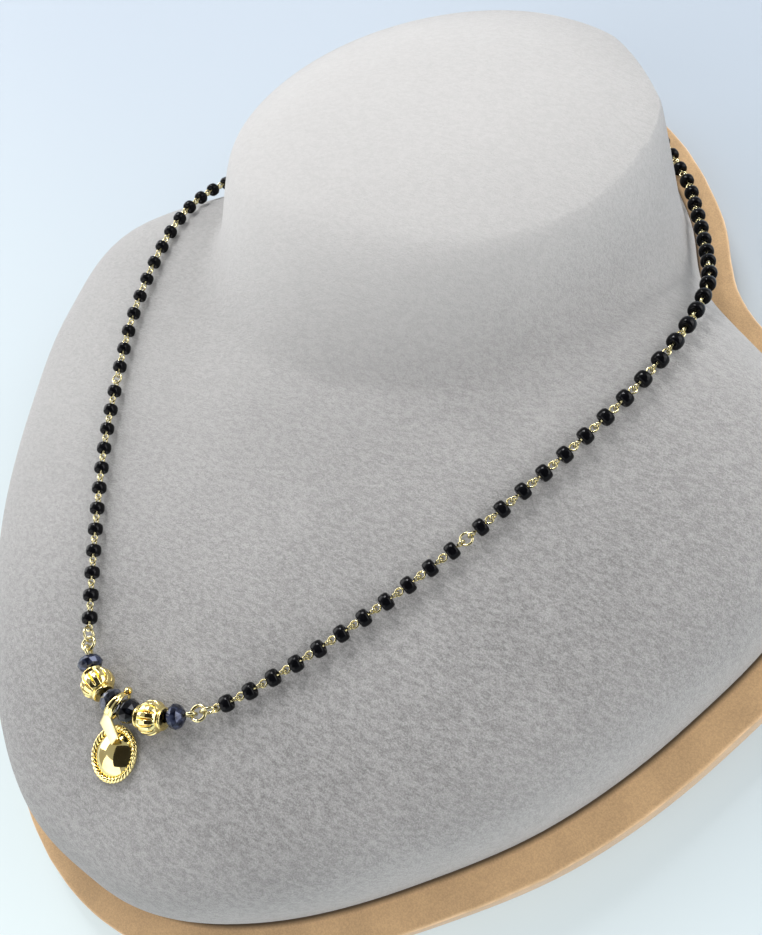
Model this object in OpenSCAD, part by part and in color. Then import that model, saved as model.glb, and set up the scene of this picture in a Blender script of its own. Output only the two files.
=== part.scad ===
// Short mangalsutra of black beads laid round a low velvet neck bust.
// +Z is up off the board, +Y points to the neck, the origin is under the board's middle.

/* [Bust] */
// Length of the velvet form, from the chest end to the neck end
bust_l = 198; // [185:1:215]
// Greatest width of the velvet form
bust_w = 180; // [170:1:195]
// Height of the chest above the board
chest_h = 24.5; // [22:0.5:24.5]
// Height of the neck's cap above the board, at its middle
cap_h = 44.5; // [40:0.5:50]
// Width of the neck's cap
cap_w = 89; // [78:1:90]
// Length of the neck's cap
cap_l = 81; // [70:1:84]
// Width of the neck at its foot
foot_w = 102; // [93:1:104]
// Shift of the neck towards +X, as it is seen in the photo
neck_x = 1.5; // [0:0.5:3]
// Reach of the sweep from the neck down to the chest
sweep_l = 74; // [60:1:80]
// Height of the cap's swell over its rim
cap_dome = 8; // [4:0.5:10]

/* [Board] */
// Thickness of the board
board_t = 8; // [6:0.5:8]
// Rim of bare board round the velvet form
board_rim = 6.5; // [5:0.5:9]
// Radius of the board's rounded edges
board_r = 2.4; // [1:0.1:2.8]

/* [Bead chain] */
// Diameter of a black bead
bead_d = 2.9; // [2.6:0.1:3]
// Length of a black bead along the chain
bead_l = 1.9; // [1.5:0.1:2]
// Diameter of the hole through a black bead
bead_bore = 0.6; // [0.6:0.05:0.8]
// Distance from one bead to the next
pitch = 4.5; // [4.5:0.1:5.2]
// Diameter of the chain's wire
wire_d = 0.4; // [0.3:0.02:0.4]
// Radius of a wire eye, to the middle of its wire
eye_r = 0.6; // [0.6:0.01:0.63]
// Radius of the rings that join stretches of chain
joint_ring_r = 1.05; // [1.0:0.05:1.2]

/* [Centre] */
// Diameter of a crystal
crystal_d = 4.4; // [3.8:0.1:4.5]
// Length of a crystal along the wire
crystal_l = 2.9; // [2.6:0.1:3.4]
// Length of the black crystal beside the bail
black_l = 3.8; // [3:0.1:4.2]
// Diameter of a fluted gold bead
gold_d = 5.8; // [5:0.1:6]
// Length of a fluted gold bead along the wire
gold_l = 5.3; // [4.8:0.1:5.8]
// Diameter of the wire through the centre pieces
core_d = 0.6; // [0.5:0.05:0.7]
// Radius of the eyes of that wire
core_eye_r = 0.85; // [0.8:0.05:1]
// Radius of the large end rings
end_ring_r = 1.25; // [1.15:0.05:1.5]
// Diameter of the wire of the end rings
end_ring_d = 0.6; // [0.4:0.05:0.6]
// Radius of the jump rings beside them
jump_ring_r = 1.35; // [1.1:0.05:1.5]
// Diameter of the wire of the jump rings
jump_ring_d = 0.5; // [0.4:0.05:0.5]

/* [Pendant] */
// Diameter of the pendant over its rope edge
pendant_d = 9.7; // [8:0.1:11]
// Thickness of the rope edge
rope_d = 1; // [0.8:0.05:1.1]
// Height of the polished dome over the disc
dome_h = 1.9; // [1.2:0.1:2.2]
// Radius of the bail round the centre wire
bail_r = 2.5; // [2.3:0.05:2.6]
// Diameter of the bail's wire
bail_d = 0.8; // [0.5:0.05:0.9]
// Turn of the pendant to one side, as it lies
pendant_turn = 13; // [0:1:20]

/* [Hidden] */

// Clearance between pieces that hang in or lie on each other
gap = 0.1;
// Clearance between neighbours on the curved centre wire, and round that wire in their bores
centre_gap = 0.45;
core_play = 0.7;
// Play left in each pair of interlocked rings
play = 0.18;

// Velvet form by stations from the chest end to the neck end:
// share of the half width, share of the chest height
BUST_ROWS = [[0, 0], [0.2, 0.53], [0.39, 0.82], [0.58, 0.96], [0.77, 1], [0.91, 1.02], [1, 1.06],
             [0.97, 1.08], [0.64, 0.82], [0.5, 0.37], [0.345, 0.16], [0.17, 0.1], [0, 0]];
// How square the chest is across: 2 is an ellipse
chest_square = 3;
// Neck axis from the form's middle, and reach of the neck's foot behind it, as shares of the length
neck_y = bust_l * 0.264;
foot_back = bust_l * 0.222;
// Fall of the cap towards the back, per millimetre, and the power of its fall to the rim
cap_tilt = 0.17;
cap_power = 3;
// Share of the cap's radius beyond which it falls no further
cap_reach = 1.3;
// Rounding of the cap's rim, as a share of the neck wall's run
rim_round = 0.38;
// Narrowest band of chest between the neck's foot and the outline, and narrowest run of the neck's wall
foot_margin = 1;
wall_run = 2;
// Outline points along one side
SIDE = 36;
// Rings of the form's skin: on the cap, over the rim and down the neck, and out over the chest
CAP_RINGS = [0.35, 0.7, 1];
WALL_RINGS = [-0.2, 0, 0.15, 0.3, 0.45, 0.6, 0.75, 0.9, 1];
CHEST_RINGS = [0.2, 0.4, 0.58, 0.73, 0.85, 0.93, 0.98, 1];

// Smooth curve through the rows of a table, s from 0 to 1
function curve(t, s) =
    let (n = len(t) - 1, u = min(max(s, 0), 1) * n, i = min(floor(u), n - 1), f = u - i,
         b = t[i], c = t[i + 1], a = i > 0 ? t[i - 1] : 2 * b - c, d = i < n - 1 ? t[i + 2] : 2 * c - b)
    0.5 * (2 * b + (c - a) * f + (2 * a - 5 * b + 4 * c - d) * f * f + (3 * b - a - 3 * c + d) * f * f * f);

// Station of a place along the form, and the place of a station
function station(y) = acos(max(-1, min(1, -2 * y / bust_l))) / 180;
function place(s) = -bust_l / 2 * cos(180 * s);

// Outline of the velvet form, once round from the chest end
function side_point(s, side) = [side * bust_w / 2 * curve(BUST_ROWS, s)[0], place(s)];
OUTLINE = concat([for (i = [0 : SIDE]) side_point(i / SIDE, 1)],
                 [for (i = [SIDE - 1 : -1 : 1]) side_point(i / SIDE, -1)]);
AROUND = len(OUTLINE);

// Outline moved outwards by d
function outward(i) =
    let (t = OUTLINE[(i + 1) % AROUND] - OUTLINE[(i + AROUND - 1) % AROUND]) [t[1], -t[0]] / norm(t);
function offset_outline(d) = [for (i = [0 : AROUND - 1]) OUTLINE[i] + d * outward(i)];

// Chest height at x, y
function chest_z(x, y) =
    let (row = curve(BUST_ROWS, station(y)), half = max(bust_w / 2 * row[0], 0.001),
         u = min(abs(x) / half, 1))
    chest_h * max(row[1], 0) * pow(1 - pow(u, chest_square), 1 / chest_square);

// Height on the form at rho along a ray from the neck's axis, where the cap ends at rc and the foot at rb
function form_z(dir, rho, rc, rb) =
    let (x = neck_x + dir[0] * rho, dy = dir[1] * rho, c = chest_z(x, dy + neck_y),
         cap = cap_h - cap_tilt * dy - cap_dome * pow(min(rho / rc, cap_reach), cap_power),
         t = (rho - rc) / (rb - rc), k = rim_round,
         fall = t < -k ? 0 : t > k ? t : pow(t + k, 2) / (4 * k),
         g = pow(max(0, min(1, 1 - fall)), 2))
    c + max(cap - c, 0) * g;

// Points along one ray, from the cap out to the outline, as [x, y, z] above the board
function ray_points(p) =
    let (v = p - [neck_x, neck_y], far = norm(v), dir = v / far,
         foot_y = dir[1] < 0 ? sweep_l : foot_back,
         rb = min(1 / norm([dir[0] / (foot_w / 2), dir[1] / foot_y]), far - foot_margin),
         rc = min(1 / norm([dir[0] / (cap_w / 2), dir[1] / (cap_l / 2)]), rb - wall_run),
         inner = rc - rim_round * (rb - rc),
         rhos = concat([for (t = CAP_RINGS) t * inner], [for (t = WALL_RINGS) rc + t * (rb - rc)],
                       [for (t = CHEST_RINGS) rb + t * (far - rb)]))
    [for (rho = rhos) [neck_x + dir[0] * rho, neck_y + dir[1] * rho,
                       rho > far - 0.001 ? 0 : form_z(dir, rho, rc, rb)]];

// Triangles between rings of n points, listed ring after ring, the first ring innermost or lowest
function band(r, n) = [for (i = [0 : n - 1]) let (a = r * n + i, b = r * n + (i + 1) % n)
    each [[a, b, b + n], [a, b + n, a + n]]];

// Neck and chest form: rays from the neck's axis out to the outline, closed underneath
module neck_form() {
    rays = [for (p = OUTLINE) ray_points(p)];
    rings = len(rays[0]);
    skin = [for (r = [0 : rings - 1]) for (i = [0 : AROUND - 1]) rays[i][r]];
    top = [neck_x, neck_y, cap_h];
    under = [neck_x, neck_y, 0];
    n = len(skin);
    last = (rings - 1) * AROUND;
    faces = concat([for (r = [0 : rings - 2]) each band(r, AROUND)],
                   [for (i = [0 : AROUND - 1]) [n, (i + 1) % AROUND, i]],
                   [for (i = [0 : AROUND - 1]) [n + 1, last + i, last + (i + 1) % AROUND]]);
    color([0.80, 0.78, 0.77]) translate([0, 0, board_t + gap])
        polyhedron(concat(skin, [top, under]), faces);
}

// Board with its edges rounded by quarter circles
EDGE_STEPS = [0, 30, 60, 90];
module back_board() {
    rim = concat([for (a = EDGE_STEPS) [1 - sin(a), 1 - cos(a)] * board_r],
                 [for (a = EDGE_STEPS) [1 - cos(a), board_t / board_r - 1 + sin(a)] * board_r]);
    pts = [for (e = rim) each [for (p = offset_outline(board_rim - e[0])) [p[0], p[1], e[1]]]];
    n = len(pts);
    last = (len(rim) - 1) * AROUND;
    faces = concat([for (r = [0 : len(rim) - 2]) each [for (f = band(r, AROUND)) [f[0], f[2], f[1]]]],
                   [for (i = [0 : AROUND - 1]) [n, i, (i + 1) % AROUND]],
                   [for (i = [0 : AROUND - 1]) [n + 1, last + (i + 1) % AROUND, last + i]]);
    color([0.72, 0.55, 0.38])
        polyhedron(concat(pts, [[0, neck_y, 0], [0, neck_y, board_t]]), faces);
}

// Chosen points of the chain's route, once round from the bail, above the board's underside
CHAIN_ROUTE = [[0.8, -67.4, 35.2], [7, -66.4, 35.2], [12.2, -63.7, 34.9], [18.8, -57.9, 34],
    [29.3, -42.8, 34], [40, -23.6, 34], [50.2, -1.6, 34.1], [56.7, 14.6, 34.2],
    [59.8, 27.4, 33], [60, 36.5, 30], [58.4, 46, 25.4], [53.8, 56.4, 18.7],
    [46.9, 69, 13.6], [39, 81, 9.9], [24, 94, 9.9], [0, 100.8, 9.9],
    [-24, 94, 9.9], [-39, 81, 9.9], [-46.9, 69, 13.6], [-53.8, 56.5, 18.7],
    [-58.2, 45.5, 25.4], [-58.2, 35.5, 30.5], [-56.7, 26.5, 33.4], [-54.4, 15, 34.5],
    [-50.6, 0.6, 34.3], [-43.9, -14.5, 34.1], [-36.2, -28.7, 34.1], [-26.1, -44, 34.1],
    [-15.8, -58.1, 34.1], [-10.1, -63.9, 34.9], [-4.8, -66.6, 35.2]];
ROUTE_STEPS = 12;
function route_point(i, f) =
    let (n = len(CHAIN_ROUTE), a = CHAIN_ROUTE[(i + n - 1) % n], b = CHAIN_ROUTE[i],
         c = CHAIN_ROUTE[(i + 1) % n], d = CHAIN_ROUTE[(i + 2) % n])
    0.5 * (2 * b + (c - a) * f + (2 * a - 5 * b + 4 * c - d) * f * f + (3 * b - a - 3 * c + d) * f * f * f);
ROUTE = [for (i = [0 : len(CHAIN_ROUTE)]) for (k = [0 : i < len(CHAIN_ROUTE) ? ROUTE_STEPS - 1 : 0])
         route_point(i % len(CHAIN_ROUTE), k / ROUTE_STEPS)];
// Length from the bail to each of those points
RUN = [for (i = 0, s = 0; i < len(ROUTE);
            i = i + 1, s = i < len(ROUTE) ? s + norm(ROUTE[i] - ROUTE[i - 1]) : s) s];
loop_l = RUN[len(RUN) - 1];
ROUTE_AXES = [for (k = [0 : 2]) [for (i = [0 : len(ROUTE) - 1]) [RUN[i], ROUTE[i][k]]]];

// Place on the route at a length from the bail, to the right if positive, and the direction there
function wrap(s) = s < 0 ? s + loop_l : s > loop_l ? s - loop_l : s;
function at(s) = [for (k = [0 : 2]) lookup(wrap(s), ROUTE_AXES[k])];
function heading(s, reach) = let (d = at(s + reach) - at(s - reach)) d / norm(d);

// Puts its children at a place with their X along a direction, rolled about it
module placed(p, d, roll = 0) {
    translate(p) rotate([0, 0, atan2(d[1], d[0])]) rotate([0, -asin(d[2]), 0]) rotate([roll, 0, 0]) children();
}
module on_route(s, reach, roll = 0) { placed(at(s), heading(s, reach), roll) children(); }

// Gold of the wires and rings
module gold() { color([0.83, 0.66, 0.30]) children(); }

// Ring of round wire, flat in X and Y
module ring(r, d) { rotate_extrude($fn = 24) translate([r, 0]) circle(d = d, $fn = 16); }

// Distance between the middles of two interlocked rings, so that they just don't touch
function linked(r1, d1, r2, d2) = r1 + r2 - (d1 + d2) / 2 - play;

// Eyes of one bead wire, from its middle
eye_x = (pitch - linked(eye_r, wire_d, eye_r, wire_d)) / 2;
// Places of the centre pieces, from the bail, on the left and on the right
bail_room = bail_d + 2 * gap;
left_x = bail_room / 2 + crystal_l;
right_x = bail_room / 2 + black_l;
function gold_x(inner) = inner + centre_gap + gold_l / 2;
function outer_crystal_x(inner) = inner + 2 * centre_gap + gold_l + crystal_l / 2;
function core_eye_x(inner) = outer_crystal_x(inner) + crystal_l / 2 + gap + core_eye_r + core_d / 2;
function end_ring_x(inner) = core_eye_x(inner) + linked(core_eye_r, core_d, end_ring_r, end_ring_d);
function jump_ring_x(inner) = end_ring_x(inner) + linked(end_ring_r, end_ring_d, jump_ring_r, jump_ring_d);
function first_bead_x(inner) = jump_ring_x(inner) + linked(jump_ring_r, jump_ring_d, eye_r, wire_d) + eye_x;
first_right = first_bead_x(right_x);
first_left = first_bead_x(left_x);
// Beads in the first stretch of each strand, and in the stretches after it
stretch_right = 11;
stretch_left = 12;
stretch_next = 16;
// From a bead to a joining ring, and what the ring adds to the pitch
ring_x = eye_x + linked(eye_r, wire_d, joint_ring_r, wire_d);
ring_extra = 2 * ring_x - pitch;
// Room kept for the clasp on each side of the loop's far point, its eyes, and its bar across and up
clasp_room = 4;
clasp_eye_r = 0.85;
clasp_w = 1.4;
clasp_t = 0.9;
far = loop_l / 2;

// Joining rings passed before bead i of a strand
function passed(i, stretch) = (i >= stretch ? 1 : 0) + (i >= stretch + stretch_next ? 1 : 0);
function bead_s(i, first, stretch) = first + pitch * i + ring_extra * passed(i, stretch);
function bead_count(first) = floor((far - clasp_room - eye_x - first - 2 * ring_extra) / pitch) + 1;
n_right = bead_count(first_right);
n_left = bead_count(first_left);
// One row a bead: its place on the loop, the side of its strand, and 1 if its first eye stands
function strand(side, n, first, stretch) =
    [for (i = [0 : n - 1]) [side * bead_s(i, first, stretch), side, passed(i, stretch) % 2]];
BEADS = concat(strand(1, n_right, first_right, stretch_right), strand(-1, n_left, first_left, stretch_left));
// One row a joining ring: its place, and 1 if it stands
RINGS = [for (side = [1, -1]) for (k = [0, 1])
    let (first = side > 0 ? first_right : first_left, stretch = side > 0 ? stretch_right : stretch_left)
    [side * (bead_s(stretch + k * stretch_next - 1, first, stretch) + ring_x), k]];
// Reach over which a bead's direction is taken
bead_reach = pitch / 2;

// Drilled glass rondelle, its hole along X, its outside rounded by narrow cones that meet at these angles
RONDELLE_ANGLES = [-90, -60, -30, 0, 30, 60, 90];
module rondelle() {
    round_r = bead_l / 2;
    rotate([0, 90, 0]) rotate_extrude($fn = 32)
        polygon(concat([[bead_bore / 2, -round_r]],
                       [for (a = RONDELLE_ANGLES) [bead_d / 2 - round_r + round_r * cos(a), round_r * sin(a)]],
                       [[bead_bore / 2, round_r]]));
}

module black_beads() {
    color([0.03, 0.03, 0.04]) for (b = BEADS) on_route(b[0], bead_reach) rondelle();
}

// Straight wire with an eye at each end, one flat and one standing, its stem a little thinner
stem_share = 0.85;
module eye_wire(half, r, d, flat_first) {
    rotate([flat_first ? 0 : 90, 0, 0]) {
        translate([-half, 0, 0]) ring(r, d);
        translate([half, 0, 0]) rotate([90, 0, 0]) ring(r, d);
    }
    rotate([0, 90, 0]) cylinder(d = stem_share * d, h = 2 * (half - r), center = true, $fn = 16);
}

module bead_wires() {
    gold() for (b = BEADS) on_route(b[0], bead_reach)
        eye_wire(eye_x, eye_r, wire_d, (b[1] > 0) == (b[2] == 0));
}

module joining_rings() {
    gold() for (r = RINGS) on_route(r[0], bead_reach, 90 * r[1]) ring(joint_ring_r, wire_d);
}

module end_ring(s) { gold() on_route(s, end_ring_r) ring(end_ring_r, end_ring_d); }
module end_ring_left() { end_ring(-end_ring_x(left_x)); }
module end_ring_right() { end_ring(end_ring_x(right_x)); }
module jump_ring(s) { gold() on_route(s, jump_ring_r, 90) ring(jump_ring_r, jump_ring_d); }
module jump_ring_left() { jump_ring(-jump_ring_x(left_x)); }
module jump_ring_right() { jump_ring(jump_ring_x(right_x)); }

// Wire through the centre pieces: a tube swept along the route, and a standing eye at each end
CORE_STEPS = 24;
CORE_SIDES = 10;
core_share = 0.9;
module centre_wire() {
    start = -core_eye_x(left_x) + core_eye_r;
    step = (core_eye_x(right_x) - core_eye_r - start) / CORE_STEPS;
    n = CORE_SIDES;
    pts = [for (i = [0 : CORE_STEPS])
        let (s = start + i * step, d = heading(s, step), v = cross([0, 0, 1], d), side = v / norm(v),
             top = cross(d, side))
        each [for (k = [0 : n - 1])
            at(s) + core_share * core_d / 2 * (cos(360 * k / n) * side + sin(360 * k / n) * top)]];
    last = CORE_STEPS * n;
    faces = concat([for (r = [0 : CORE_STEPS - 1]) each [for (f = band(r, n)) [f[0], f[2], f[1]]]],
                   [[for (k = [0 : n - 1]) k]], [[for (k = [n - 1 : -1 : 0]) last + k]]);
    gold() {
        polyhedron(pts, faces);
        for (s = [-core_eye_x(left_x), core_eye_x(right_x)])
            on_route(s, core_eye_r, 90) ring(core_eye_r, core_d);
    }
}

// Cut crystal rondelle: a table at each end, and two crowns of facets that meet in a zigzag girdle
CRYSTAL_SIDES = 12;
centre_bore = core_d + core_play;
module crystal(s, length, tint) {
    n = CRYSTAL_SIDES;
    half = 180 / n;
    // radius share, length share and turn of each ring
    cut = [[0.58, -1, 0], [1, -0.36, half], [1, 0.36, 0], [0.58, 1, half]];
    pts = [for (c = cut) for (i = [0 : n - 1]) let (a = 360 / n * i + c[2])
        [c[1] * length / 2, c[0] * crystal_d / 2 * cos(a), c[0] * crystal_d / 2 * sin(a)]];
    faces = concat(
        [for (r = [0 : 2]) for (i = [0 : n - 1])
            let (a = r * n + i, b = r * n + (i + 1) % n, lead = cut[r + 1][2] > 0)
            each (lead ? [[a, a + n, b], [b, a + n, b + n]] : [[a, a + n, b + n], [a, b + n, b]])],
        [[for (i = [0 : n - 1]) i]], [[for (i = [n - 1 : -1 : 0]) 3 * n + i]]);
    color(tint) on_route(s, length / 2) difference() {
        polyhedron(pts, faces);
        rotate([0, 90, 0]) cylinder(d = centre_bore, h = 2 * length, center = true, $fn = 24);
    }
}
module crystal_1() { crystal(-outer_crystal_x(left_x), crystal_l, [0.35, 0.40, 0.50]); }
module crystal_2() { crystal(-left_x + crystal_l / 2, crystal_l, [0.40, 0.42, 0.46]); }
module crystal_3() { crystal(right_x - black_l / 2, black_l, [0.06, 0.06, 0.08]); }
module crystal_4() { crystal(outer_crystal_x(right_x), crystal_l, [0.35, 0.40, 0.50]); }

// Fluted barrel by rings along its length: share of the half length, share of the radius, depth of the flutes
GOLD_ROWS = [[-1, 0.45, 0], [-1, 0.62, 0], [-0.8, 0.66, 0], [-0.72, 0.6, 0], [-0.55, 0.86, 0.08],
             [-0.28, 0.97, 0.12], [0, 1, 0.13], [0.28, 0.97, 0.12], [0.55, 0.86, 0.08],
             [0.72, 0.6, 0], [0.8, 0.66, 0], [1, 0.62, 0], [1, 0.45, 0]];
LOBES = 14;
LOBE_STEPS = 4;
module gold_bead(s) {
    n = LOBES * LOBE_STEPS;
    bore = centre_bore / gold_d;
    rows = concat([[-1, bore, 0]], GOLD_ROWS, [[1, bore, 0]]);
    m = len(rows);
    pts = [for (row = rows) for (i = [0 : n - 1])
        let (a = 360 / n * i, flute = pow(abs(sin(a * LOBES / 2)), 0.5),
             r = gold_d / 2 * (row[1] - row[2] * (1 - flute)))
        [row[0] * gold_l / 2, r * cos(a), r * sin(a)]];
    faces = [for (j = [0 : m - 1]) for (i = [0 : n - 1])
        let (k = (j + 1) % m, next = (i + 1) % n,
             a = j * n + i, b = j * n + next, c = k * n + i, d = k * n + next)
        each [[a, c, b], [b, c, d]]];
    color([0.86, 0.68, 0.28]) on_route(s, gold_l / 2) polyhedron(pts, faces);
}
module gold_bead_left() { gold_bead(-gold_x(left_x)); }
module gold_bead_right() { gold_bead(gold_x(right_x)); }

// Pendant's middle: below the bail, and lying on the chest
pendant_hang = 2.9;
pendant_drop = pendant_d / 2 + pendant_hang;
pendant_plan = [at(0)[0] + pendant_drop * sin(pendant_turn), at(0)[1] - pendant_drop * cos(pendant_turn)];
pendant_at = [pendant_plan[0], pendant_plan[1],
              board_t + chest_z(pendant_plan[0], pendant_plan[1]) + rope_d / 2 + 3 * gap];
slope_reach = 3;
pendant_slope = atan((chest_z(pendant_plan[0], pendant_plan[1] + slope_reach)
                      - chest_z(pendant_plan[0], pendant_plan[1] - slope_reach)) / (2 * slope_reach));
// Lean of the bail's ring to the right, its turn, and the knob at its far end, by its angle up from the back
bail_lean = 16;
bail_turn = 8;
knob_angle = 5;
knob_d = 1.3;
// Leaf of the bail: millimetres to the right, and share of its length, from its foot on the dome
LEAF = [[0.5, 0], [1.3, 0.42], [0.5, 1], [-0.75, 1], [-1.9, 0.65]];
leaf_t = 0.45;
leaf_foot_y = 1.8;
leaf_foot_z = 1.45;
// Angle up from the bail's front at which the leaf meets it
leaf_meets = 42;
bail_rise = at(0)[2] - pendant_at[2];
leaf_top_y = pendant_drop * cos(pendant_slope) + bail_rise * sin(pendant_slope)
    - bail_r * cos(leaf_meets + pendant_slope);
leaf_top_z = bail_rise * cos(pendant_slope) - pendant_drop * sin(pendant_slope)
    + bail_r * sin(leaf_meets + pendant_slope);
leaf_l = norm([leaf_top_y - leaf_foot_y, leaf_top_z - leaf_foot_z]);
leaf_tilt = atan2(leaf_top_z - leaf_t / 2 - leaf_foot_z, leaf_top_y - leaf_foot_y);
// Gap from the middle of the rope edge in to the dome, as a share of the rope's thickness
rope_lap = 0.4;
module pendant() {
    disc_r = (pendant_d - rope_d) / 2;
    dome_r = disc_r - rope_d * rope_lap;
    ball_r = (dome_r * dome_r + dome_h * dome_h) / (2 * dome_h);
    plate_t = rope_d / 2;
    color([0.88, 0.70, 0.28]) {
        on_route(0, bail_d) rotate([0, 0, -bail_turn]) rotate([0, bail_lean, 0]) {
            rotate([0, 90, 0]) ring(bail_r, bail_d);
            translate([0, cos(knob_angle), sin(knob_angle)] * (bail_r + bail_d / 2))
                sphere(d = knob_d, $fn = 24);
        }
        translate(pendant_at) rotate([pendant_slope, 0, 0]) rotate([0, 0, pendant_turn]) {
            rotate_extrude($fn = 48) translate([disc_r, 0]) circle(d = rope_d, $fn = 24);
            translate([0, 0, -plate_t / 2]) cylinder(r = disc_r, h = plate_t, $fn = 48);
            intersection() {
                translate([0, 0, dome_h - ball_r]) sphere(r = ball_r, $fn = 64);
                cylinder(r = dome_r, h = dome_h + 1, $fn = 48);
            }
            translate([0, leaf_foot_y, leaf_foot_z]) rotate([leaf_tilt, 0, 0]) linear_extrude(leaf_t)
                polygon([for (p = LEAF) [p[0], p[1] * leaf_l]]);
        }
    }
}

// Clasp behind the neck: a flat bar with a flat or standing eye at each end
module clasp() {
    right_end = bead_s(n_right - 1, first_right, stretch_right) + eye_x;
    left_end = bead_s(n_left - 1, first_left, stretch_left) + eye_x;
    step = linked(eye_r, wire_d, clasp_eye_r, wire_d);
    a = at(right_end + step);
    b = at(loop_l - left_end - step);
    half = norm(b - a) / 2;
    right_stands = passed(n_right - 1, stretch_right) % 2 == 0;
    left_stands = passed(n_left - 1, stretch_left) % 2 == 0;
    gold() placed((a + b) / 2, (b - a) / norm(b - a)) {
        translate([-half, 0, 0]) rotate([right_stands ? 0 : 90, 0, 0]) ring(clasp_eye_r, wire_d);
        translate([half, 0, 0]) rotate([left_stands ? 0 : 90, 0, 0]) ring(clasp_eye_r, wire_d);
        cube([2 * (half - clasp_eye_r), clasp_w, clasp_t], center = true);
    }
}

back_board();
neck_form();
black_beads();
bead_wires();
joining_rings();
end_ring_left();
end_ring_right();
jump_ring_left();
jump_ring_right();
centre_wire();
crystal_1();
crystal_2();
crystal_3();
crystal_4();
gold_bead_left();
gold_bead_right();
pendant();
clasp();
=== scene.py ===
"""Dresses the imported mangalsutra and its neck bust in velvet, suede, glass, crystal and gold."""

import math

import bpy
import numpy as np
from bpy.props import FloatProperty, FloatVectorProperty, IntProperty, PointerProperty
from mathutils import Matrix, Vector


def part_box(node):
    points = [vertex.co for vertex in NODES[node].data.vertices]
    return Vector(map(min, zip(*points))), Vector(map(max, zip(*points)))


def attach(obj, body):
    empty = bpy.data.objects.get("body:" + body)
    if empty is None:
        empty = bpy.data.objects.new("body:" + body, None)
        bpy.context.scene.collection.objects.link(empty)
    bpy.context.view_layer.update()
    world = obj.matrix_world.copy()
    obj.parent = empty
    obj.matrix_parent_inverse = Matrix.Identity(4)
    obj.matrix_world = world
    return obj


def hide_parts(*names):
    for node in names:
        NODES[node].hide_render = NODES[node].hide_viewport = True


bl_info = {
    "name": "Mangalsutra on a Neck Bust",
    "version": (1, 0, 0),
    "blender": (4, 5, 0),
    "location": "View3D > Sidebar > Neck Bust",
    "description": "Builds the velvet bust, the bead chain and the pendant over the solid model",
    "category": "Add Mesh",
}

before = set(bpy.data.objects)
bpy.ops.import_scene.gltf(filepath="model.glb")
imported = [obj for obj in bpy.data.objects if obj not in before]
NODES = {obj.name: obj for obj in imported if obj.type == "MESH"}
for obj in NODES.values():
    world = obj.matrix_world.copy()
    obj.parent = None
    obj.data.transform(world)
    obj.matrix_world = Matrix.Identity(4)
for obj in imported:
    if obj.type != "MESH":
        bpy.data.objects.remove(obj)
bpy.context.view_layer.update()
BODY = "root"
MM = 0.001
# Least half width of the chest in millimetres, so that its ends are no division by nothing
TINY = 0.001
UP = np.array([0.0, 0.0, 1.0])
ACROSS = np.array([1.0, 0.0, 0.0])


def corners(node):
    """Lowest and highest corner of a node of the frame, in millimetres."""
    low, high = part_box(node)
    return np.array(low) / MM, np.array(high) / MM


BUST_LOW, BUST_HIGH = corners("neck_form")
BOARD_TOP = corners("back_board")[1][2]

# Driving sizes of the velvet form in millimetres, as in the solid model
BUST_L = BUST_HIGH[1] - BUST_LOW[1]
BUST_W = 180.0
CHEST_H = 24.5
CAP_H = 44.5
CAP_W = 89.0
CAP_L = 81.0
FOOT_W = 102.0
NECK_X = 1.5
NECK_Y = BUST_L * 0.264
# The wall's foot: reach towards the chest and towards the back, least distance from the outline and
# least run out from the rim
SWEEP_L = 74.0
FOOT_BACK = BUST_L * 0.222
FOOT_MARGIN = 1.0
WALL_RUN = 2.0
# The cap: drop of its dome at the rim, slope along Y, power of the dome, and how far past the rim
# it is followed, as a share of the rim's reach
CAP_DOME = 8.0
CAP_TILT = 0.17
CAP_POWER = 3
CAP_REACH = 1.3
# Half width of the rounding at the rim as a share of the wall's run, and power of the arch across
RIM_ROUND = 0.38
CHEST_SQUARE = 3.0
# Stations from the chest end to the neck end: share of the half width, share of the chest height
BUST_ROWS = np.array(
    [
        [0, 0],
        [0.2, 0.53],
        [0.39, 0.82],
        [0.58, 0.96],
        [0.77, 1],
        [0.91, 1.02],
        [1, 1.06],
        [0.97, 1.08],
        [0.64, 0.82],
        [0.5, 0.37],
        [0.345, 0.16],
        [0.17, 0.1],
        [0, 0],
    ]
)
# Rings of the velvet's grid over the cap, the wall and the chest, and where the first one lies
CAP_RINGS = 22
WALL_RINGS = 46
CHEST_RINGS = 44
FIRST_RING = 0.04

# Board in millimetres: width of its rim round the form, radius of its arrises, reach of its skin
# under the form, and where the painted crease shade round the form's foot starts and is darkest
BOARD_RIM = 6.5
BOARD_R = 0.7
BOARD_UNDER = 4.0
CREASE_SHADE = (1.1, 0.25)
ARRIS_STEPS = 8
# How uneven the board's edge is: depth, two rates in radians a point, and the levels it is between
UNEVEN_DEPTH = 0.12
UNEVEN_RATES = (0.9, 0.23)
UNEVEN_FROM = 1.0
UNEVEN_TO = BOARD_TOP - 0.01

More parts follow.
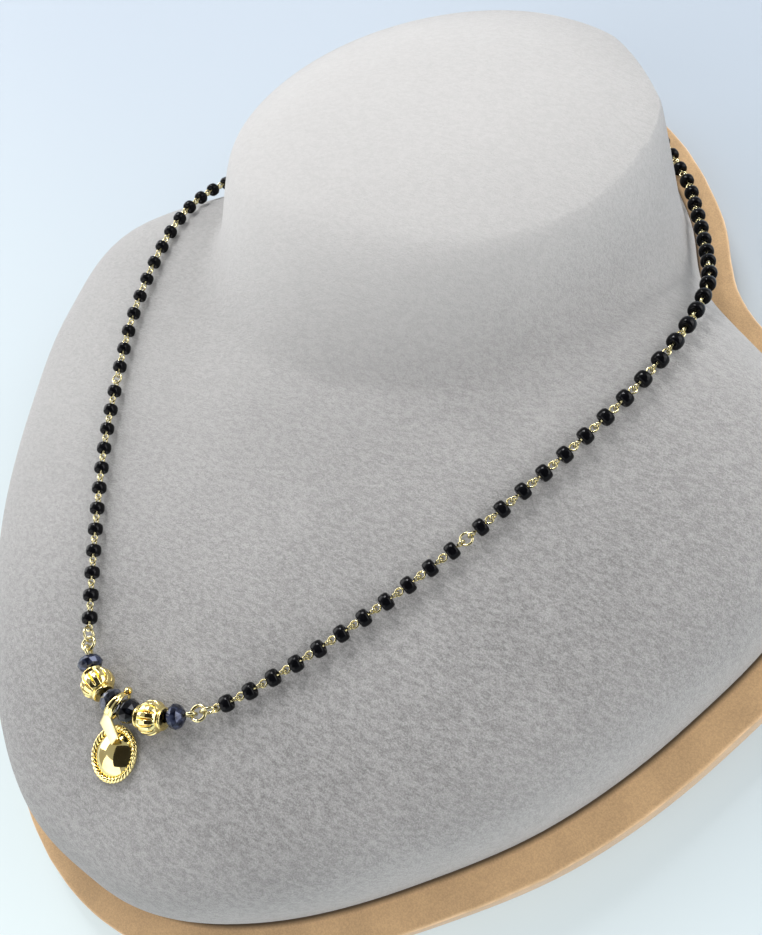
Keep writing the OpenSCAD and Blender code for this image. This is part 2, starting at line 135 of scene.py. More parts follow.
# Chosen points of the chain's route, once round from the bail, in millimetres
CHAIN_ROUTE = np.array(
    [
        [0.8, -67.4, 35.2],
        [7, -66.4, 35.2],
        [12.2, -63.7, 34.9],
        [18.8, -57.9, 34],
        [29.3, -42.8, 34],
        [40, -23.6, 34],
        [50.2, -1.6, 34.1],
        [56.7, 14.6, 34.2],
        [59.8, 27.4, 33],
        [60, 36.5, 30],
        [58.4, 46, 25.4],
        [53.8, 56.4, 18.7],
        [46.9, 69, 13.6],
        [39, 81, 9.9],
        [24, 94, 9.9],
        [0, 100.8, 9.9],
        [-24, 94, 9.9],
        [-39, 81, 9.9],
        [-46.9, 69, 13.6],
        [-53.8, 56.5, 18.7],
        [-58.2, 45.5, 25.4],
        [-58.2, 35.5, 30.5],
        [-56.7, 26.5, 33.4],
        [-54.4, 15, 34.5],
        [-50.6, 0.6, 34.3],
        [-43.9, -14.5, 34.1],
        [-36.2, -28.7, 34.1],
        [-26.1, -44, 34.1],
        [-15.8, -58.1, 34.1],
        [-10.1, -63.9, 34.9],
        [-4.8, -66.6, 35.2],
    ]
)
ROUTE_STEPS = 12

# Chain in millimetres: each ring is its radius to the middle of its wire, and the wire's thickness
PITCH = 4.5
PLAY = 0.18
EYE = (0.6, 0.4)
CORE_EYE = (0.85, 0.6)
END_RING = (1.25, 0.6)
JUMP_RING = (1.35, 0.5)
JOINING_RING = (1.05, 0.4)
# Beads in the first stretch of each strand, right and left, beads in the next, room for the clasp
FIRST_STRETCH = (11, 12)
NEXT_STRETCH = 16
CLASP_ROOM = 4.0
# Steps round a link's long eye, and sides of the wire in the eye and in the stem
EYE_STEPS = 18
EYE_SIDES = 7
STEM_SIDES = 6
WIRE_NODES = (
    "joining_rings",
    "end_ring_left",
    "end_ring_right",
    "jump_ring_left",
    "jump_ring_right",
    "centre_wire",
    "clasp",
)

# Black beads in millimetres, steps round their section, sides round the bore, the section's power
BEAD_D = 2.9
BEAD_L = 1.98
BEAD_BORE = 0.6
BEAD_STEPS = 12
BEAD_SIDES = 20
BEAD_SQUARE = 0.75

# Centre pieces in millimetres, with the space between them
CRYSTAL_D = 4.4
CRYSTAL_L = 2.9
BLACK_L = 3.8
GAP = 0.1
CENTRE_GAP = 0.45
GOLD_L = 5.3
GOLD_D = 5.8
# Crystal by rings along its length: share of the length from its middle, share of the radius
CUT_ROWS = np.array([[-0.5, 0.45], [-0.27, 0.85], [0, 1], [0.27, 0.85], [0.5, 0.45]])
CUT_FACETS = 12
# Fluted bead by rows from one end to its middle: share of the half length, share of the radius,
# depth of the grooves. The other half is its mirror image
FLUTED_HALF = np.array(
    [
        [-1.0, 0.24, 0],
        [-1.0, 0.42, 0],
        [-0.99, 0.6, 0],
        [-0.93, 0.665, 0],
        [-0.86, 0.665, 0],
        [-0.79, 0.6, 0],
        [-0.74, 0.58, 0],
        [-0.68, 0.68, 0],
        [-0.56, 0.82, 0.05],
        [-0.42, 0.91, 0.14],
        [-0.22, 0.98, 0.2],
        [0, 1.0, 0.22],
    ]
)
FLUTED_ROWS = np.concatenate([FLUTED_HALF, FLUTED_HALF[-2::-1] * [-1, 1, 1]])
# Width of a groove as the sine of the lobe angle, steps round a lobe and between two rows
GROOVE_WIDTH = 0.27
LOBE_STEPS = 14
ROW_STEPS = 4

# Bail in millimetres and degrees: the wire it hangs on, its band, how it leans and turns, its grid
BAIL_WIRE = 0.8
BAIL_R = 2.5
BAIL_THICK = 0.55
BAIL_LEAN = 16.0
BAIL_TURN = 8.0
BAIL_STEPS = 120
BAIL_SIDES = 28
# Half width of the band at the knob and what the leaf's side adds, depth and width of its groove,
# and power of its section
BAIL_NARROW = 0.32
BAIL_ADDED = 0.55
BAIL_GROOVE = (0.45, 0.25)
BAIL_SQUARE = 0.6

# Knob on the bail: where it sits and which way its hole faces in degrees, the hole by radius and
# level as shares of the knob's radius, how slim it is, and its arc from the foot to the hole
KNOB_ANGLE = 5.0
KNOB_D = 1.6
KNOB_FACES = 34.0
KNOB_HOLE = np.array([[0.49, 0.83], [0.45, 0.8], [0.42, 0.5], [0.34, 0.05], [0.1, -0.1]])
KNOB_SLIM = 0.9
KNOB_ARC = (-np.pi / 2 + 0.05, 0.95)
KNOB_STEPS = 16
KNOB_SIDES = 28

# Pendant in millimetres: how far its edge hangs below the wire, and the reach of the slope under it
HANG = 2.9
SLOPE_REACH = 3.0
# Leaf as millimetres to the right and share of its length, its foot on the dome, where it meets the
# bail, and its bevels as share of the outline and share of the thickness
LEAF = np.array([[0.5, 0], [2.0, 0.34], [0.5, 1], [-0.75, 1], [-1.9, 0.65]])
LEAF_T = 0.5
LEAF_FOOT_Y = 1.8
LEAF_FOOT_Z = 1.45
LEAF_MEETS = 42.0
LEAF_BEVELS = ((0.94, 0.0), (1.0, 0.16), (1.0, 0.7), (0.95, 0.93), (0.88, 1.0))
# Rope edge: strands, turns, grid steps for each, and its section's power, core and ridges
ROPE_STRANDS = 4
ROPE_TURNS = 9
ROPE_STEPS = 9
ROPE_SIDES = 12
ROPE_POWER = 0.6
ROPE_CORE = 0.7
ROPE_RIDGE = 0.32
# Dome: its foot inside the rope's line as a share of the rope, the angle of its innermost ring, its
# rings and sides, how far the step inside the rope goes beyond the foot, and the rings of its
# underside, the first in millimetres and the second as a share of the radius
DOME_FOOT = 0.4
DOME_FIRST = 0.03
DOME_RINGS = 26
DOME_SIDES = 96
DOME_STEP = 0.05
DOME_UNDER = (0.2, 0.6)
# Underside and step of the dome's edge, from the middle of the rope, as shares of the rope
DOME_EDGE = (-0.25, 0.15)

# Shares of the blotches, the streaks and the fibres in the velvet's tone
VELVET_SHARES = (0.14, 0.4, 0.46)
# Darkest and palest velvet as multiples of its colour: unshaded on the cap, with painted shade
# below it
UNSHADED_TONES = (0.92, 1.07)
PAINTED_SHADE_TONES = (0.34, 0.84)
# Darker side of the bright gold as multiples of its red, green and blue, and the leaf's two golds
PENDANT_SHADE = (0.95, 0.88, 0.75)
BEAD_SHADE = (0.95, 0.86, 0.72)
LEAF_GOLD = ((0.92, 0.82, 0.5), (0.9, 0.76, 0.42))
# Darker and paler glass of the black beads
BLACK_GLASS = ((0.001, 0.001, 0.0015), (0.004, 0.004, 0.005))
# Body and glint of each kind of crystal, by slot
CRYSTALS = {
    "blue_crystal": ("cut_blue", (0.006, 0.008, 0.02), (0.045, 0.055, 0.10)),
    "grey_crystal": ("cut_grey", (0.012, 0.014, 0.02), (0.11, 0.12, 0.155)),
    "black_crystal": ("cut_black", (0.001, 0.001, 0.002), (0.012, 0.014, 0.02)),
}

# Table in metres: half its width, its colours near and far, where along Y the one turns into the
# other, and how much the near part glows
TABLE_REACH = 3.0
TABLE_NEAR = (0.28, 0.315, 0.32)
TABLE_FAR = (0.40, 0.455, 0.52)
TABLE_TURN = (-0.15, 0.15)
TABLE_GLOW = 1.6
# Dark cloth behind the camera, which only the polished gold and glass mirror: metres
CARD_SIZE = 0.36
CARD_BACK = 0.05
CARD_COLOUR = (0.012, 0.008, 0.006)
# Light of the room
ROOM_COLOUR = (0.93, 0.96, 1.0, 1)
ROOM_STRENGTH = 0.45
# Soft lamps: name, place in metres, watts, size in metres, all aimed at one point
LIT_POINT = (0.0, 0.0, 0.03)
LIGHTS = [
    ("window", (-1.25, 1.35, 1.65), 27.0, 0.8),
    ("left_fill", (-2.20, 0.10, 0.80), 38.0, 1.9),
    ("back_window", (1.50, 1.90, 1.10), 20.0, 1.75),
    ("fill", (-0.25, -2.40, 1.00), 54.0, 3.2),
    ("right_fill", (2.20, 1.00, 1.00), 46.0, 2.4),
    ("spark", (-0.75, 1.10, 1.60), 8.0, 0.16),
]
# Camera, from the rows of beads in the photograph: place in millimetres, angles in degrees, focal
# length and longer side in pixels of the photograph, sensor in millimetres, near limit in metres
CAMERA_AT = np.array([96.2, -45.1, 160.6])
CAMERA_AZIMUTH = 64.9
CAMERA_DOWN = 57.4
CAMERA_ROLL = -39.6
FOCAL_PX = 858.0
IMAGE_LONG = 935
SENSOR = 36.0
CLIP_START = 0.01


# Mesh helpers


def grid_faces(rows, columns, wrap_rows=False, wrap_columns=False):
    """Quads of a grid of points listed row after row, closed round where asked."""
    r = np.arange(rows if wrap_rows else rows - 1)[:, None]
    c = np.arange(columns if wrap_columns else columns - 1)[None, :]
    r2 = (r + 1) % rows
    c2 = (c + 1) % columns
    quads = np.stack([r * columns + c, r * columns + c2, r2 * columns + c2, r2 * columns + c], -1)
    return quads.reshape(-1, 4).tolist()


def closed_round(grid):
    """A grid closed round both ways, as points and faces."""
    return grid.reshape(-1, 3), grid_faces(*grid.shape[:2], wrap_rows=True, wrap_columns=True)


def capped(grid):
    """A grid of rings, closed round and by a fan at each end, as points and faces."""
    rings, around = grid.shape[:2]
    i = np.arange(around)
    j = (i + 1) % around
    n = rings * around
    last = n - around
    faces = grid_faces(rings, around, wrap_columns=True)
    faces += np.stack([np.full(around, n), j, i], 1).tolist()
    faces += np.stack([np.full(around, n + 1), last + i, last + j], 1).tolist()
    return np.concatenate([grid.reshape(-1, 3), [grid[0].mean(0), grid[-1].mean(0)]]), faces


def moved(part, spin, place):
    """Points and faces turned by a rotation and moved."""
    points, faces = part
    return points @ spin.T + place, faces


def make_piece(name, part, replaces, sharp=None):
    """A piece from points in millimetres and their faces, shown in place of one node. Edges that
    turn by more than `sharp` degrees stay sharp."""
    points, faces = part
    mesh = bpy.data.meshes.new(name)
    mesh.from_pydata((np.asarray(points, float) * MM).tolist(), [], faces)
    mesh.validate()
    mesh.shade_smooth()
    if sharp is not None:
        mesh.set_sharp_from_angle(angle=math.radians(sharp))
    piece = bpy.data.objects.new(name, mesh)
    bpy.context.scene.collection.objects.link(piece)
    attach(piece, BODY)
    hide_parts(replaces)
    return piece


def dress(piece, material):
    """Gives a piece or a node one material."""
    piece.data.materials.clear()
    piece.data.materials.append(material)


def turn(axis, degrees):
    """Rotation matrix about a row axis."""
    return np.array(Matrix.Rotation(math.radians(degrees), 3, axis))


def circle(steps):
    """Angles once round."""
    return np.linspace(0, 2 * np.pi, steps, endpoint=False)


def carried(line, out, over, section):
    """A section carried along a line: its two columns are reaches along the line's outward
    direction and along one upward direction. A round one that turns from out towards minus over
    faces outwards round a closed line."""
    return line[:, None] + section[..., :1] * out[:, None] + section[..., 1:] * over


def round_section(around, radius=1.0):
    """Circle that turns from the first direction towards minus the second."""
    b = circle(around)
    return radius * np.stack([np.cos(b), -np.sin(b)], -1)[None]


def lathe(profile, around):
    """Profile of radius and height turned about Z, once round, as a grid of rings."""
    a = circle(around)
    r, z = profile[:, 0, None], profile[:, 1, None]
    rings = np.broadcast_to(z, (len(profile), around))
    return np.stack([r * np.cos(a), r * np.sin(a), rings], -1)


def between(a, b, c, d, f):
    """Cubic from b to c, f from 0 to 1, whose slope at each end is half the step between the
    neighbours."""
    square = (2 * a - 5 * b + 4 * c - d) * f**2
    cube = (3 * b - a - 3 * c + d) * f**3
    return 0.5 * (2 * b + (c - a) * f + square + cube)


def curve(table, s):
    """Smooth curve through a table's rows, s from 0 to 1."""
    n = len(table) - 1
    u = np.clip(s, 0, 1) * n
    i = np.clip(np.floor(u).astype(int), 0, n - 1)
    f = (u - i)[..., None]
    b, c = table[i], table[i + 1]
    first = (i == 0)[..., None]
    last = (i == n - 1)[..., None]
    a = np.where(first, 2 * b - c, table[np.maximum(i - 1, 0)])
    d = np.where(last, 2 * c - b, table[np.minimum(i + 2, n)])
    return between(a, b, c, d, f)


# The chain's route


def frames_along(directions):
    """Rotations whose X runs along each direction and whose Y is level."""
    x = directions / np.linalg.norm(directions, axis=-1, keepdims=True)
    y = np.cross(UP, x)
    y /= np.linalg.norm(y, axis=-1, keepdims=True)
    return np.stack([x, y, np.cross(x, y)], -1)


def chain_line():
    """Smooth closed curve through the chosen points of the chain's route, and the length run."""
    n = len(CHAIN_ROUTE)
    i = np.repeat(np.arange(n), ROUTE_STEPS)
    f = np.tile(np.arange(ROUTE_STEPS) / ROUTE_STEPS, n)[:, None]
    line = between(*(CHAIN_ROUTE[(i + k) % n] for k in (-1, 0, 1, 2)), f)
    line = np.concatenate([line, line[:1]])
    steps = np.linalg.norm(np.diff(line, axis=0), axis=1)
    return line, np.concatenate([[0], np.cumsum(steps)])


def on_route(s, reach):
    """Places on the chain's route at lengths from the bail, right if positive, and the rotations
    there, whose X is the chord over `reach` on either side."""
    line, run = chain_line()
    low, here, high = (
        np.stack([np.interp(np.mod(v, run[-1]), run, line[:, k]) for k in range(3)], -1)
        for v in (s - reach, s, s + reach)
    )
    return here, frames_along(high - low)


# Shape of the velvet form


def chest_z(x, y):
    """Chest height: the station's height times a squarish arch across its width."""
    row = curve(BUST_ROWS, np.arccos(np.clip(-2 * y / BUST_L, -1, 1)) / np.pi)
    half = np.maximum(BUST_W / 2 * row[..., 0], TINY)
    u = np.minimum(np.abs(x) / half, 1)
    return CHEST_H * np.maximum(row[..., 1], 0) * (1 - u**CHEST_SQUARE) ** (1 / CHEST_SQUARE)


def outline(side_points):
    """Velvet form's outline in plan, once round from the chest end, evenly in station."""
    s = np.arange(side_points + 1) / side_points
    x = BUST_W / 2 * curve(BUST_ROWS, s)[:, 0]
    y = -BUST_L / 2 * np.cos(np.pi * s)
    right = np.stack([x, y], 1)
    left = np.stack([-x, y], 1)[-2:0:-1]
    return np.concatenate([right, left])


def velvet_surface(side_points):
    """Points on rays from the neck's axis to the outline: a domed, tilted cap, a rounded rim, a
    wall that sweeps down as the square of the distance left to its foot, and the chest beyond."""
    edge = outline(side_points)
    ray = edge - [NECK_X, NECK_Y]
    far = np.linalg.norm(ray, axis=1)
    way = ray / far[:, None]
    foot_y = np.where(way[:, 1] < 0, SWEEP_L, FOOT_BACK)
    foot = 1 / np.hypot(way[:, 0] / (FOOT_W / 2), way[:, 1] / foot_y)
    foot = np.minimum(foot, far - FOOT_MARGIN)
    rim = 1 / np.hypot(way[:, 0] / (CAP_W / 2), way[:, 1] / (CAP_L / 2))
    rim = np.minimum(rim, foot - WALL_RUN)
    run = foot - rim
    inner = rim - RIM_ROUND * run
    cap = np.linspace(FIRST_RING, 1, CAP_RINGS)[:, None] * inner
    wall = rim + np.linspace(-RIM_ROUND, 1, WALL_RINGS)[1:, None] * run
    chest = foot + np.sin(np.linspace(0, np.pi / 2, CHEST_RINGS))[1:, None] * (far - foot)
    rho = np.concatenate([cap, wall, chest])
    x = NECK_X + way[:, 0] * rho
    y = NECK_Y + way[:, 1] * rho
    base = chest_z(x, y)
    drop = CAP_DOME * np.minimum(rho / rim, CAP_REACH) ** CAP_POWER
    dome = CAP_H - CAP_TILT * way[:, 1] * rho - drop
    t = (rho - rim) / run
    rounding = (t + RIM_ROUND) ** 2 / (4 * RIM_ROUND)
    fall = np.where(t < -RIM_ROUND, 0, np.where(t > RIM_ROUND, t, rounding))
    z = base + np.maximum(dome - base, 0) * np.clip(1 - fall, 0, 1) ** 2
    z[-1] = 0
    return np.stack([x, y, z + BUST_LOW[2]], -1)


# Shader helper


def tinted(colour, by, plus=0.0):
    """A colour times a number, or times one for each of red, green and blue, kept in range."""
    factors = by if isinstance(by, tuple) else (by, by, by)
    return tuple(min(1.0, c * k + plus) for c, k in zip(colour, factors))


class Field:
    """A value or colour in a material. Arithmetic on it adds Math nodes."""

    def __init__(self, tree, socket):
        self.tree = tree
        self.socket = socket

    def math(self, operation, first, second):
        settings = {"operation": operation}
        return self.tree.node("ShaderNodeMath", settings, {0: first, 1: second})

    def __add__(self, other):
        return self.math("ADD", self, other)

    __radd__ = __add__

    def __mul__(self, other):
        return self.math("MULTIPLY", self, other)

    __rmul__ = __mul__

    def __sub__(self, other):
        return self.math("SUBTRACT", self, other)

    def __rsub__(self, other):
        return self.math("SUBTRACT", other, self)


class Finish:
    """A material under construction: a Principled surface, and a method that adds other nodes."""

    def __init__(self, name, **constants):
        self.material = bpy.data.materials.new(name)
        self.material.use_nodes = True
        self.nodes = self.material.node_tree.nodes
        self.links = self.material.node_tree.links
        self.surface = self.nodes["Principled BSDF"]
        for socket, value in constants.items():
            self.surface.inputs[socket.replace("_", " ")].default_value = value

    def node(self, kind, settings, inputs, out=0):
        """Adds a node: settings first, then values or links of its sockets. Returns one output."""
        made = self.nodes.new(kind)
        for key, value in settings.items():
            setattr(made, key, value)
        for key, value in inputs.items():
            self.put(made.inputs[key], value)
        return Field(self, made.outputs[out])

    def put(self, socket, value):
        """Links a field to a socket, or sets a plain value on it."""
        if isinstance(value, Field):
            self.links.new(value.socket, socket)
        elif isinstance(value, tuple) and socket.type == "RGBA" and len(value) == 3:
            socket.default_value = (*value, 1.0)
        else:
            socket.default_value = value

    def place(self):
        """Object coordinates."""
        return self.node("ShaderNodeTexCoord", {}, {}, "Object")

    def along(self, axis):
        """Object coordinate along X, Y or Z, in metres."""
        return self.node("ShaderNodeSeparateXYZ", {}, {0: self.place()}, axis)

    def stretch(self, x, y, z):
        """Object coordinates scaled along the axes: below 1 the pattern grows longer."""
        inputs = {"Vector": self.place(), "Scale": (x, y, z)}
        return self.node("ShaderNodeMapping", {}, inputs)

    def noise(self, size, detail=2.0, rough=0.5, at=None):
        """Noise whose lumps are about `size` millimetres."""
        inputs = {"Vector": at or self.place(), "Scale": 1 / (size * MM)}
        inputs |= {"Detail": detail, "Roughness": rough}
        return self.node("ShaderNodeTexNoise", {}, inputs, "Fac")

    def band(self, value, low, high):
        """0 below low, 1 above high, smooth between."""
        settings = {"interpolation_type": "SMOOTHSTEP"}
        inputs = {"Value": value, "From Min": low, "From Max": high}
        return self.node("ShaderNodeMapRange", settings, inputs)

    def mix(self, factor, a, b):
        """Colour a turning into colour b. The colours are the sockets 6 and 7."""
        inputs = {"Factor": factor, 6: a, 7: b}
        return self.node("ShaderNodeMix", {"data_type": "RGBA"}, inputs, 2)

    def paint(self, socket, value):
        """Feeds one of the surface's own sockets."""
        self.put(self.surface.inputs[socket], value)

    def bump(self, height, distance, strength):
        """Bump of a height field, distance in millimetres."""
        inputs = {"Height": height, "Distance": distance * MM, "Strength": strength}
        self.paint("Normal", self.node("ShaderNodeBump", {}, inputs, "Normal"))


# Finishes


def velvet_finish(colour):
    """Short warm grey nap: blotches where the pile was brushed, short streaks, fine fibre grain,
    and a sheen. Painted shade darkens the chest below the cap, most at the front right, least on
    the slope down to the board."""
    m = Finish(
        "grey_velvet",
        Roughness=0.95,
        Specular_IOR_Level=0.15,
        Sheen_Weight=0.3,
        Sheen_Roughness=0.5,
    )
    blotch = m.noise(24, 3, 0.55)
    streak = m.noise(0.75, 3, 0.75, m.stretch(0.5, 1.0, 0.8))
    fibre = m.noise(0.26, 2, 0.85)
    patches, streaks, fibres = VELVET_SHARES
    tone = patches * m.band(blotch, 0.32, 0.68)
    tone += streaks * m.band(streak, 0.38, 0.62)
    tone += fibres * m.band(fibre, 0.38, 0.62)
    unshaded_colour = m.mix(tone, *(tinted(colour, k) for k in UNSHADED_TONES))
    shaded_colour = m.mix(tone, *(tinted(colour, k) for k in PAINTED_SHADE_TONES))
    x, y, height = (m.along(axis) for axis in "XYZ")
    # Painted shade: 1 up to the top of the chest, 0 at the top of the cap
    chest_shade_mask = 1 - m.band(height, (BOARD_TOP + CHEST_H + 1) * MM, (BOARD_TOP + CAP_H) * MM)
    # The painted shade is darkest at the front right, palest at the back left, and paler down the
    # slope to the board
    front_shade = 0.95 - 0.65 * m.band(y - 0.6 * x, -75 * MM, 25 * MM)
    slope = m.band(height, (BOARD_TOP + 4) * MM, (BOARD_TOP + CHEST_H * 0.96) * MM)
    slope = 0.45 + 0.55 * slope
    # The painted shade mixes the velvet towards its darker tones
    m.paint("Base Color", m.mix(chest_shade_mask * front_shade * slope, unshaded_colour, shaded_colour))
    m.bump((0.45 * fibre + 0.55 * streak) * (0.35 + 0.65 * chest_shade_mask), 0.5, 1.0)
    return m.material


def suede_finish(colour):
    """Tan suede: faint clouds of nap, fine pores, a painted highlight as a thin paler line along
    the upper arris, and painted shade in the crease round the velvet's foot."""
    m = Finish(
        "tan_suede",
        Roughness=0.9,
        Specular_IOR_Level=0.2,
        Sheen_Weight=0.25,
        Sheen_Roughness=0.5,
    )
    cloud = m.noise(9, 4, 0.6)
    pore = m.noise(0.3, 3, 0.75)
    tone = 0.4 * m.band(cloud, 0.3, 0.7) + 0.6 * m.band(pore, 0.32, 0.68)
    nap = m.mix(tone, tinted(colour, 0.8), tinted(colour, 1.2))
    height = m.along("Z")
    # Painted highlight: a thin paler line along the upper arris, broken up by noise
    low, middle, high = ((BOARD_TOP - BOARD_R * k) * MM for k in (0.9, 0.4, 0.02))
    arris = m.band(height, low, middle) * (1 - m.band(height, middle, high))
    arris_highlight = arris * (0.4 + 0.6 * m.band(m.noise(3.0, 3), 0.35, 0.7))
    nap = m.mix(arris_highlight, nap, tinted(colour, 1.3, 0.08))
    # Painted shade in the crease round the velvet's foot
    crease = m.node("ShaderNodeAttribute", {"attribute_name": "crease"}, {}, "Fac")
    m.paint("Base Color", m.mix(crease, nap, tinted(colour, 0.15)))
    m.bump(pore + 0.4 * cloud, 0.12, 0.6)
    return m.material


def glass_bead_finish():
    """Glossy opaque black glass with a faint unevenness."""
    m = Finish("black_glass", IOR=1.21)
    m.paint("Base Color", m.mix(m.noise(0.9), *BLACK_GLASS))
    m.paint("Roughness", 0.01 + 0.04 * m.noise(0.7))
    return m.material


def gold_finish(name, colour, shade, rough, wear_size):
    """Polished gold: colour drifts a little, fine scuffs change the gloss and dent the surface."""
    m = Finish(name, Metallic=1.0)
    drift = m.noise(wear_size * 3)
    scuff = m.noise(wear_size, 4, 0.65)
    m.paint("Base Color", m.mix(m.band(drift, 0.3, 0.7), shade, colour))
    m.paint("Roughness", rough + 0.12 * m.band(scuff, 0.45, 0.75))
    m.bump(scuff, 0.012, 0.5)
    return m.material


def crystal_finish(name, colour, glint):
    """Coated crystal: dark body under a mirror-like, slightly coloured coat."""
    m = Finish(name, Metallic=0.5, Roughness=0.04, Coat_Weight=0.3, Coat_Roughness=0.02, IOR=1.4)
    m.paint("Base Color", m.mix(m.band(m.noise(1.6), 0.4, 0.6), colour, glint))
    return m.material


def floor_finish(near, far):
    """Pale table top that cools slowly towards the back, its near part glowing as painted light."""
    m = Finish("pale_table", Roughness=0.6, Specular_IOR_Level=0.2, Emission_Strength=1.0)
    away = m.band(m.along("Y"), *TABLE_TURN)
    m.paint("Base Color", m.mix(away, near, far))
    # Painted light: the near part of the table glows
    m.paint("Emission Color", m.mix(away, tinted(near, TABLE_GLOW), (0.0, 0.0, 0.0)))
    return m.material


def card_finish():
    """Dark cloth."""
    m = Finish("dark_cloth", Roughness=0.9)
    m.paint("Base Color", CARD_COLOUR)
    return m.material


# Settings shown in the panel


class BustSettings(bpy.types.PropertyGroup):
    velvet: FloatVectorProperty(
        name="Velvet",
        description="Colour of the velvet",
        default=(0.445, 0.435, 0.426),
        subtype="COLOR",
        size=3,
    )
    suede: FloatVectorProperty(
        name="Suede",
        description="Colour of the board's suede",
        default=(0.50, 0.325, 0.17),
        subtype="COLOR",
        size=3,
    )
    skin_points: IntProperty(
        name="Skin points",
        description="Outline points along one side of the form",
        default=110,
        min=24,
        max=240,
    )


class PendantSettings(bpy.types.PropertyGroup):
    diameter: FloatProperty(
        name="Diameter",
        description="Diameter over the rope edge",
        default=0.0097,
        unit="LENGTH",
        min=0.006,
        max=0.014,
    )
    rope: FloatProperty(
        name="Rope",
        description="Thickness of the rope edge",
        default=0.001,
        unit="LENGTH",
        min=0.0005,
        max=0.0015,
    )
    dome: FloatProperty(
        name="Dome",
        description="Height of the dome over the disc",
        default=0.0019,
        unit="LENGTH",
        min=0.001,
        max=0.003,
    )
    turned: FloatProperty(
        name="Turned",
        description="Turn of the pendant to one side",
        default=math.radians(13),
        subtype="ANGLE",
    )
    gold: FloatVectorProperty(
        name="Gold",
        description="Colour of the bright gold",
        default=(0.94, 0.80, 0.37),
        subtype="COLOR",
        size=3,
    )


class BeadSettings(bpy.types.PropertyGroup):
    lobes: IntProperty(
        name="Flutes", description="Flutes round a gold bead", default=14, min=6, max=20
    )
    wire: FloatVectorProperty(
        name="Wire",
        description="Colour of the wires and rings",
        default=(0.80, 0.71, 0.40),
        subtype="COLOR",
        size=3,
    )
    wire_thick: FloatProperty(
        name="Wire Thickness",
        description="Thickness of a link's wire",
        default=0.00034,
        unit="LENGTH",
        min=0.0002,
    )
    eye_length: FloatProperty(
        name="Eye Length",
        description="Length of a link's long eye",
        default=0.0017,
        unit="LENGTH",
        min=0.0012,
    )
    eye_width: FloatProperty(
        name="Eye Width",
        description="Width of a link's long eye",
        default=0.0016,
        unit="LENGTH",
        min=0.001,
    )


# Operators, one for each piece or group of like pieces, each after the shapes it uses


class BUST_OT_velvet_form(bpy.types.Operator):
    """Lay the velvet neck and chest form over its solid"""

    bl_idname = "bust.velvet_form"
    bl_label = "Velvet Form"

    def execute(self, context):
        settings = context.scene.bust_settings
        points, faces = capped(velvet_surface(settings.skin_points)[::-1])
        points[-1] = [NECK_X, NECK_Y, CAP_H + BUST_LOW[2]]
        piece = make_piece("velvet_form", (points, faces), "neck_form", sharp=75)
        dress(piece, velvet_finish(tuple(settings.velvet)))
        return {"FINISHED"}


class BUST_OT_board(bpy.types.Operator):
    """Cover the board in suede: rounded, slightly uneven edges, painted shade at the velvet's foot
    """

    bl_idname = "bust.board"
    bl_label = "Suede Board"

    def execute(self, context):
        settings = context.scene.bust_settings
        edge = outline(settings.skin_points)
        step = np.roll(edge, -1, 0) - np.roll(edge, 1, 0)
        out = np.stack([step[:, 1], -step[:, 0]], 1) / np.linalg.norm(step, axis=1)[:, None]
        # Rings up the edge, from the underside over both arrises to the skin under the form
        a = np.linspace(0, np.pi / 2, ARRIS_STEPS)
        fading, darkest = BOARD_RIM - CREASE_SHADE[0], BOARD_RIM - CREASE_SHADE[1]
        rising, closing = BOARD_R * np.sin(a), BOARD_R * (1 - np.cos(a))
        inner = [fading, darkest, BOARD_RIM + BOARD_UNDER]
        inset = np.concatenate([BOARD_R * (1 - np.sin(a)), closing, inner])
        level = np.concatenate([closing, BOARD_TOP - BOARD_R + rising, [BOARD_TOP] * len(inner)])
        ring = edge[None] + out[None] * (BOARD_RIM - inset)[:, None, None]
        along = np.arange(len(edge))
        fast, slow = (np.sin(along * rate) for rate in UNEVEN_RATES)
        pull = np.abs(UNEVEN_DEPTH * fast * slow)
        lift = np.where((level > UNEVEN_FROM) & (level < UNEVEN_TO), 1.0, 0.0)
        ring = ring - out[None] * pull[None, :, None] * lift[:, None, None]
        height = np.broadcast_to(level[:, None, None], (*ring.shape[:2], 1))
        points, faces = capped(np.concatenate([ring, height], -1))
        points[-2:, :2] = [0, NECK_Y]
        piece = make_piece("suede_board", (points, faces), "back_board", sharp=60)
        # Painted shade in the crease round the velvet's foot, from the darkest ring inwards
        # The two fans' middles come last: the underside's is bare, the one under the form is dark
        crease = np.repeat(inset >= darkest, len(edge)).astype(float)
        crease = np.concatenate([crease, [0, 1]])
        piece.data.attributes.new("crease", "FLOAT", "POINT").data.foreach_set("value", crease)
        dress(piece, suede_finish(tuple(settings.suede)))
        return {"FINISHED"}


def linked(first, second):
    """Distance between the middles of two interlocked rings, each a radius and a thickness."""
    return first[0] + second[0] - (first[1] + second[1]) / 2 - PLAY


def chain_layout():
    """Places of the beads along the route, and whether each bead's first eye lies flat."""
    eye_x = (PITCH - linked(EYE, EYE)) / 2
    ring_extra = 2 * (eye_x + linked(EYE, JOINING_RING)) - PITCH
    far = chain_line()[1][-1] / 2
    places, flat = [], []
    for side, inner, stretch in zip((1, -1), (BLACK_L, CRYSTAL_L), FIRST_STRETCH):
        first = BAIL_WIRE / 2 + GAP + inner + 2 * CENTRE_GAP + GOLD_L + CRYSTAL_L + GAP
        first += sum(CORE_EYE) - CORE_EYE[1] / 2
        first += linked(CORE_EYE, END_RING) + linked(END_RING, JUMP_RING)
        first += linked(JUMP_RING, EYE) + eye_x
        room = far - CLASP_ROOM - eye_x - first - 2 * ring_extra
        i = np.arange(math.floor(room / PITCH) + 1)
        passed = (i >= stretch).astype(int) + (i >= stretch + NEXT_STRETCH)
        places.append(side * (first + PITCH * i + ring_extra * passed))
        flat.append((side > 0) == (passed % 2 == 0))
    return np.concatenate(places), np.concatenate(flat)


